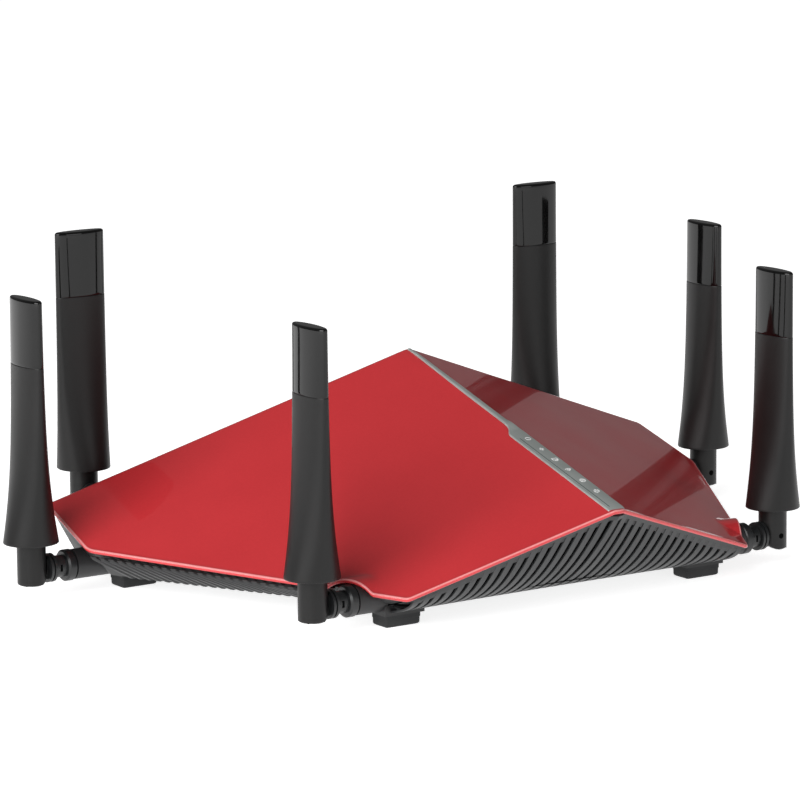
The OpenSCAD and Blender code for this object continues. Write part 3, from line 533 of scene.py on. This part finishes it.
def makeStrip():
    # narrow bead down from the highest point, widening on each side in turn into the flat lamp band
    st = stripSizes
    length = (rs["tipFront"] + rs["apexBack"]) / np.cos(np.arctan(ridgeRise))
    s = np.concatenate([[st["front"], st["front"] + 0.15, st["front"] + 0.5, st["front"] + 1.2],
                        np.linspace(4, 74, 30), np.linspace(75, 92, 50), np.linspace(94, length - 0.4, 24)])

    def ease(a, b):
        # goes smoothly from 0 at a to 1 at b
        q = np.clip((s - a) / (b - a), 0, 1)
        return q * q * (3 - 2 * q)

    bead = st["beadHalf"] * (1 - 0.45 * ease(110.0, length))
    left = st["bandHalf"] + (bead - st["bandHalf"]) * ease(*st["leftStep"])
    right = st["bandHalf"] + (bead - st["bandHalf"]) * ease(*st["rightStep"])
    top = st["bandTop"] + (st["beadTop"] - st["bandTop"]) * ease(80.0, 87.0)
    top = top - 1.3 * (1 - ease(st["front"], 3.4)) - 0.5 * ease(length - 6, length - 0.4)
    r = np.minimum(st["round"], bead * 0.4)
    turn = np.radians(np.linspace(0, 90, 5))
    section = [(-left, 0 * s + st["low"])]
    section += [(-left + r * (1 - np.cos(k)), top - r * (1 - np.sin(k))) for k in turn]
    section += [(right - r * (1 - np.sin(k)), top - r * (1 - np.cos(k))) for k in turn]
    section += [(right, 0 * s + st["low"])]
    rings = np.stack([np.column_stack([x, s, z]) for x, z in section], 1)
    makePiece("ridge_strip_lacquered", closedRings(alongRidge(rings)), "housing", silverBand,
              ["ridge_strip"], smooth=32)
    # the lamp window is a narrow smoked bar set into the band
    a, b = st["slotEnds"]
    along = np.array([a, a + 0.4, a + 0.9, b - 0.9, b - 0.4, b])
    w = np.array([0.2, 0.8, 1.0, 1.0, 0.8, 0.2]) * st["slotHalf"]
    low, high = st["bandTop"] - 0.6, st["bandTop"] + 0.04
    rings = np.stack([np.column_stack([st["slotAt"] + w * q, along, 0 * along + z])
                      for q, z in ((-1, low), (-1, high), (1, high), (1, low))], 1)
    makePiece("lamp_window_bar", closedRings(alongRidge(rings)), "housing", smokedAcrylic,
              ["led_window"], smooth=32)


makeStrip()
print("ridge strip made")


footSizes = {"chamfer": 0.9, "step": 3.1, "corner": 1.3}


def makeFeet():
    # moulded pads: a rounded rectangle carried upwards, drawn in at the floor and at a step
    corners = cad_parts["feet"].data.vertices
    points = np.empty(len(corners) * 3)
    corners.foreach_get("co", points)
    points = points.reshape(-1, 3) / mm
    parts = []
    for sx in (-1, 1):
        for back in (False, True):
            mine = points[(np.sign(points[:, 0]) == sx) & ((points[:, 1] > 0) == back)]
            a, b = mine.min(0), mine.max(0)
            half, centre = (b - a) / 2, (a + b) / 2
            q = np.linspace(0, 2 * np.pi, 48, endpoint=False)[None]
            step = footSizes["step"]
            z = np.array([0.0, 0.35, footSizes["chamfer"], step, step + 0.1, b[2]])[:, None]
            draw = np.array([0.9, 0.45, 0.25, 0.2, 0.0, 0.0])[:, None]
            r = footSizes["corner"]
            cx, cy = np.sign(np.cos(q)), np.sign(np.sin(q))
            bend = np.abs(np.cos(q)) ** 0.14, np.abs(np.sin(q)) ** 0.14
            x = cx * (half[0] - draw) * bend[0]
            y = cy * (half[1] - draw) * bend[1]
            parts.append(closedRings(np.stack([centre[0] + x, centre[1] + y, z + 0 * x], -1)))
    makePiece("foot_pads", joined(parts), "housing", bloomedRubber, ["feet"], smooth=35)


makeFeet()
print("feet made")


# sizes in mm, measured from the elbow pin; each antenna is the same blade, turned about its own pin
bladeSizes = {
    "flare": 12.2, "length": 106.8, "cap": 28.9, "wide": 24.4, "thin": 6.8, "thick": 24.4, "fade": 35.0,
    "fadePower": 1.1, "stub": 6.3, "slot": 2.5, "flat": 4.7, "edge": 0.35, "topEdge": 1.1, "sides": 72,
}
bs = bladeSizes
turns = {1: 0, 2: -90, 3: 0, 4: -90, 5: 180, 6: 180}


def placed(points, n):
    # u towards the housing, v along the pin, z up: turned and moved to the antenna's own pin
    low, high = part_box(f"antenna_{n}_pin")
    centre = np.array((low + high) / 2) / mm
    a = np.radians(turns[n])
    u, v = points[..., 0], points[..., 1]
    x, y = u * np.cos(a) - v * np.sin(a), u * np.sin(a) + v * np.cos(a)
    return np.stack([x, y, points[..., 2]], -1) + centre


def bladeRings(heights, shrink):
    # section at each height above the flared end: an ellipse that turns into a lens and thins fast at first
    a = np.linspace(0, 2 * np.pi, bs["sides"], endpoint=False)[None]
    h = np.array(heights, float)[:, None]
    s = np.array(shrink, float)[:, None]
    e = np.maximum(h, 0)
    thick = bs["thin"] + (bs["thick"] - bs["thin"]) * np.exp(-(e / bs["fade"]) ** bs["fadePower"]) - 2 * s
    wide = bs["wide"] - 0.5 * np.exp(-e / 20) - 2 * s
    power = 1 - 0.12 * np.minimum(e / 60, 1)
    u = thick / 2 * np.sign(np.cos(a)) * np.abs(np.cos(a)) ** power
    v = wide / 2 * np.sign(np.sin(a)) * np.abs(np.sin(a)) ** (2 - power)
    return np.stack([u, v, h + bs["flare"] + 0 * a], -1)


def stubPiece(low, high, keep):
    # a length of the round stub cut by keep, which limits u and v at each height
    a = np.linspace(0, 2 * np.pi, 64, endpoint=False)[None]
    z = np.linspace(low, high, 26)[:, None]
    ease = 0.8
    soft = 0 * z
    if low < 0:
        depth = np.maximum(low + ease - z, 0)
        soft = ease - np.sqrt(np.maximum(ease ** 2 - depth ** 2, 0))
    u, v = (bs["stub"] - soft) * np.cos(a), (bs["stub"] - soft) * np.sin(a)
    u, v = keep(u, v, z)
    return closedRings(np.stack([u, v, z + 0 * u], -1))


def earOf(side):
    # one ear beside the slot: flat inside, and rounded about the pin towards the housing
    def keep(u, v, z):
        reach = np.sqrt(np.maximum(bs["stub"] ** 2 - np.minimum(z, 0) ** 2, 0.3))
        return np.clip(u, -4.8, reach), side * np.maximum(side * v, bs["slot"])
    return keep


def outerWall(u, v, z):
    # closes the slot on the side away from the housing
    reach = np.sqrt(bs["stub"] ** 2 - bs["flat"] ** 2)
    return np.minimum(u, -bs["flat"]), np.clip(v, -reach, reach)


def makeBlade(n):
    # the painted sleeve with its forked stub, the glossy cap above the seam, and a near-black disc at the
    # elbow pin, painted shade for its sunk bore
    seamAt = bs["length"] - bs["cap"]
    turn = np.radians(np.linspace(0, 90, 5))
    heights = [0, 0] + list(bs["edge"] * (1 - np.cos(turn))) + list(np.linspace(1.2, seamAt - 0.6, 44))
    shrink = [7.0, 2.5] + list(bs["edge"] * (1 - np.sin(turn))) + [0] * 44
    sleeve = closedRings(bladeRings(heights + [seamAt - 0.3, seamAt - 0.1], shrink + [0, 0.16]))
    parts = [sleeve, stubPiece(4.9, 12.6, lambda u, v, z: (u, v)), stubPiece(-6.3, 5.0, outerWall)]
    parts += [stubPiece(-6.3, 5.0, earOf(side)) for side in (-1, 1)]
    shape = joined([(placed(p, n), q, t) for p, q, t in parts])
    arm = f"antenna_{n}_arm"
    makePiece(f"blade_{n}", shape, arm, softTouch, [f"antenna_{n}_sleeve"], smooth=38)
    topE = bs["topEdge"]
    over = np.radians(np.linspace(0, 90, 8))
    heights = [seamAt - 0.15, seamAt + 0.05, seamAt + 0.3]
    heights += list(np.linspace(seamAt + 1.5, bs["length"] - topE, 12)[:-1])
    heights += list(bs["length"] - topE + topE * np.sin(over)) + [bs["length"]]
    shrink = [0.18, 0.04, 0.0] + [0.0] * 11 + list(topE * (1 - np.cos(over))) + [2.6]
    cap = closedRings(placed(bladeRings(heights, shrink), n))
    makePiece(f"blade_cap_{n}", cap, arm, pianoBlack, [f"antenna_{n}_cap"], smooth=38)
    # the pin's end shows on one side of the stub only, as a near-black disc of painted shade standing for the
    # sunk bore
    a = np.linspace(0, 2 * np.pi, 28, endpoint=False)
    rows = []
    for radius, reach in ((1.2, 5.6), (1.2, 6.34), (1.1, 6.4), (0.5, 6.4)):
        rows.append(np.stack([radius * np.cos(a), np.full(28, reach), radius * np.sin(a)], -1))
    makePiece(f"pin_bore_painted_shade_{n}", closedRings(placed(np.stack(rows), n)), arm, paintedShadeBlack, smooth=0)


for n in range(1, 7):
    makeBlade(n)
print("antennas made")


def makeStage():
    # a floor that glows white under the router, and the room round it
    mesh = bpy.data.meshes.new("studio_floor")
    half = 40.0
    corners = [(-half, -half, 0), (half, -half, 0), (half, half, 0), (-half, half, 0)]
    mesh.from_pydata(corners, [], [(0, 1, 2, 3)])
    floor = bpy.data.objects.new("studio_floor", mesh)
    bpy.context.scene.collection.objects.link(floor)
    glow = {"IOR": 1.45, "Specular IOR Level": 0.1, "Emission Color": (1, 1, 1, 1), "Emission Strength": 0.8}
    mesh.materials.append(finish("backlit_acrylic_floor", glow, "#f6f6f6", "#fafafa", 40, 900, (0.7, 0.8)))
    floor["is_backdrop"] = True
    world = bpy.context.scene.world or bpy.data.worlds.new("studio")
    bpy.context.scene.world = world
    world.use_nodes = True
    # a white cyclorama to look at, and a dim grey room to light and to reflect
    tree = world.node_tree
    seen = addNode(tree, "ShaderNodeLightPath").outputs["Is Camera Ray"]
    strength = addNode(tree, "ShaderNodeMapRange", links={"Value": seen, "To Min": 0.14, "To Max": 1.0})
    back = tree.nodes["Background"]
    back.inputs["Color"].default_value = (1, 1, 1, 1)
    tree.links.new(strength.outputs["Result"], back.inputs["Strength"])


def addLight(name, place, aim, size, power):
    # a white rectangular softbox that looks at aim
    data = bpy.data.lights.new(name, "AREA")
    data.shape = "RECTANGLE"
    data.size, data.size_y = size
    data.energy = power
    lamp = bpy.data.objects.new(name, data)
    bpy.context.scene.collection.objects.link(lamp)
    lamp.location = place
    lamp.rotation_mode = "QUATERNION"
    lamp.rotation_quaternion = (Vector(aim) - Vector(place)).to_track_quat("-Z", "Y")


cameraSizes = {"azimuth": -33.75, "elevation": 11.01, "roll": -0.472, "target": (0, 57.4, 53.8),
               "distance": 2177.6, "lens": 217.26, "shift": (0.0225, 0.0378)}


def makeCamera():
    # a long lens that looks down at the router from its left front
    cs = cameraSizes
    a, e, tip = (np.radians(cs[k]) for k in ("azimuth", "elevation", "roll"))
    back = np.array([np.sin(a) * np.cos(e), -np.cos(a) * np.cos(e), np.sin(e)])
    right = np.array([np.cos(a), np.sin(a), 0])
    up = np.cross(back, right)
    rightTipped = right * np.cos(tip) + up * np.sin(tip)
    upTipped = -right * np.sin(tip) + up * np.cos(tip)
    place = (np.array(cs["target"]) + back * cs["distance"]) * mm
    turned = np.column_stack([rightTipped, upTipped, back])
    data = bpy.data.cameras.new("camera")
    data.lens, data.sensor_width = cs["lens"], 36.0
    data.shift_x, data.shift_y = cs["shift"]
    data.clip_start, data.clip_end = 0.05, 100.0
    camera = bpy.data.objects.new("camera", data)
    bpy.context.scene.collection.objects.link(camera)
    camera.matrix_world = Matrix.Translation(Vector(place)) @ Matrix(turned.tolist()).to_4x4()
    bpy.context.scene.camera = camera


makeStage()
addLight("key_softbox", (-2.6, -1.0, 1.5), (0, 0, 0.05), (3.0, 2.2), 104)
addLight("front_fill_softbox", (0.6, -2.6, 0.7), (0, 0, 0.05), (1.2, 0.8), 8)
makeCamera()
bpy.context.scene.view_settings.view_transform = "Standard"
print("stage, lights and camera made")

low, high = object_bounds()
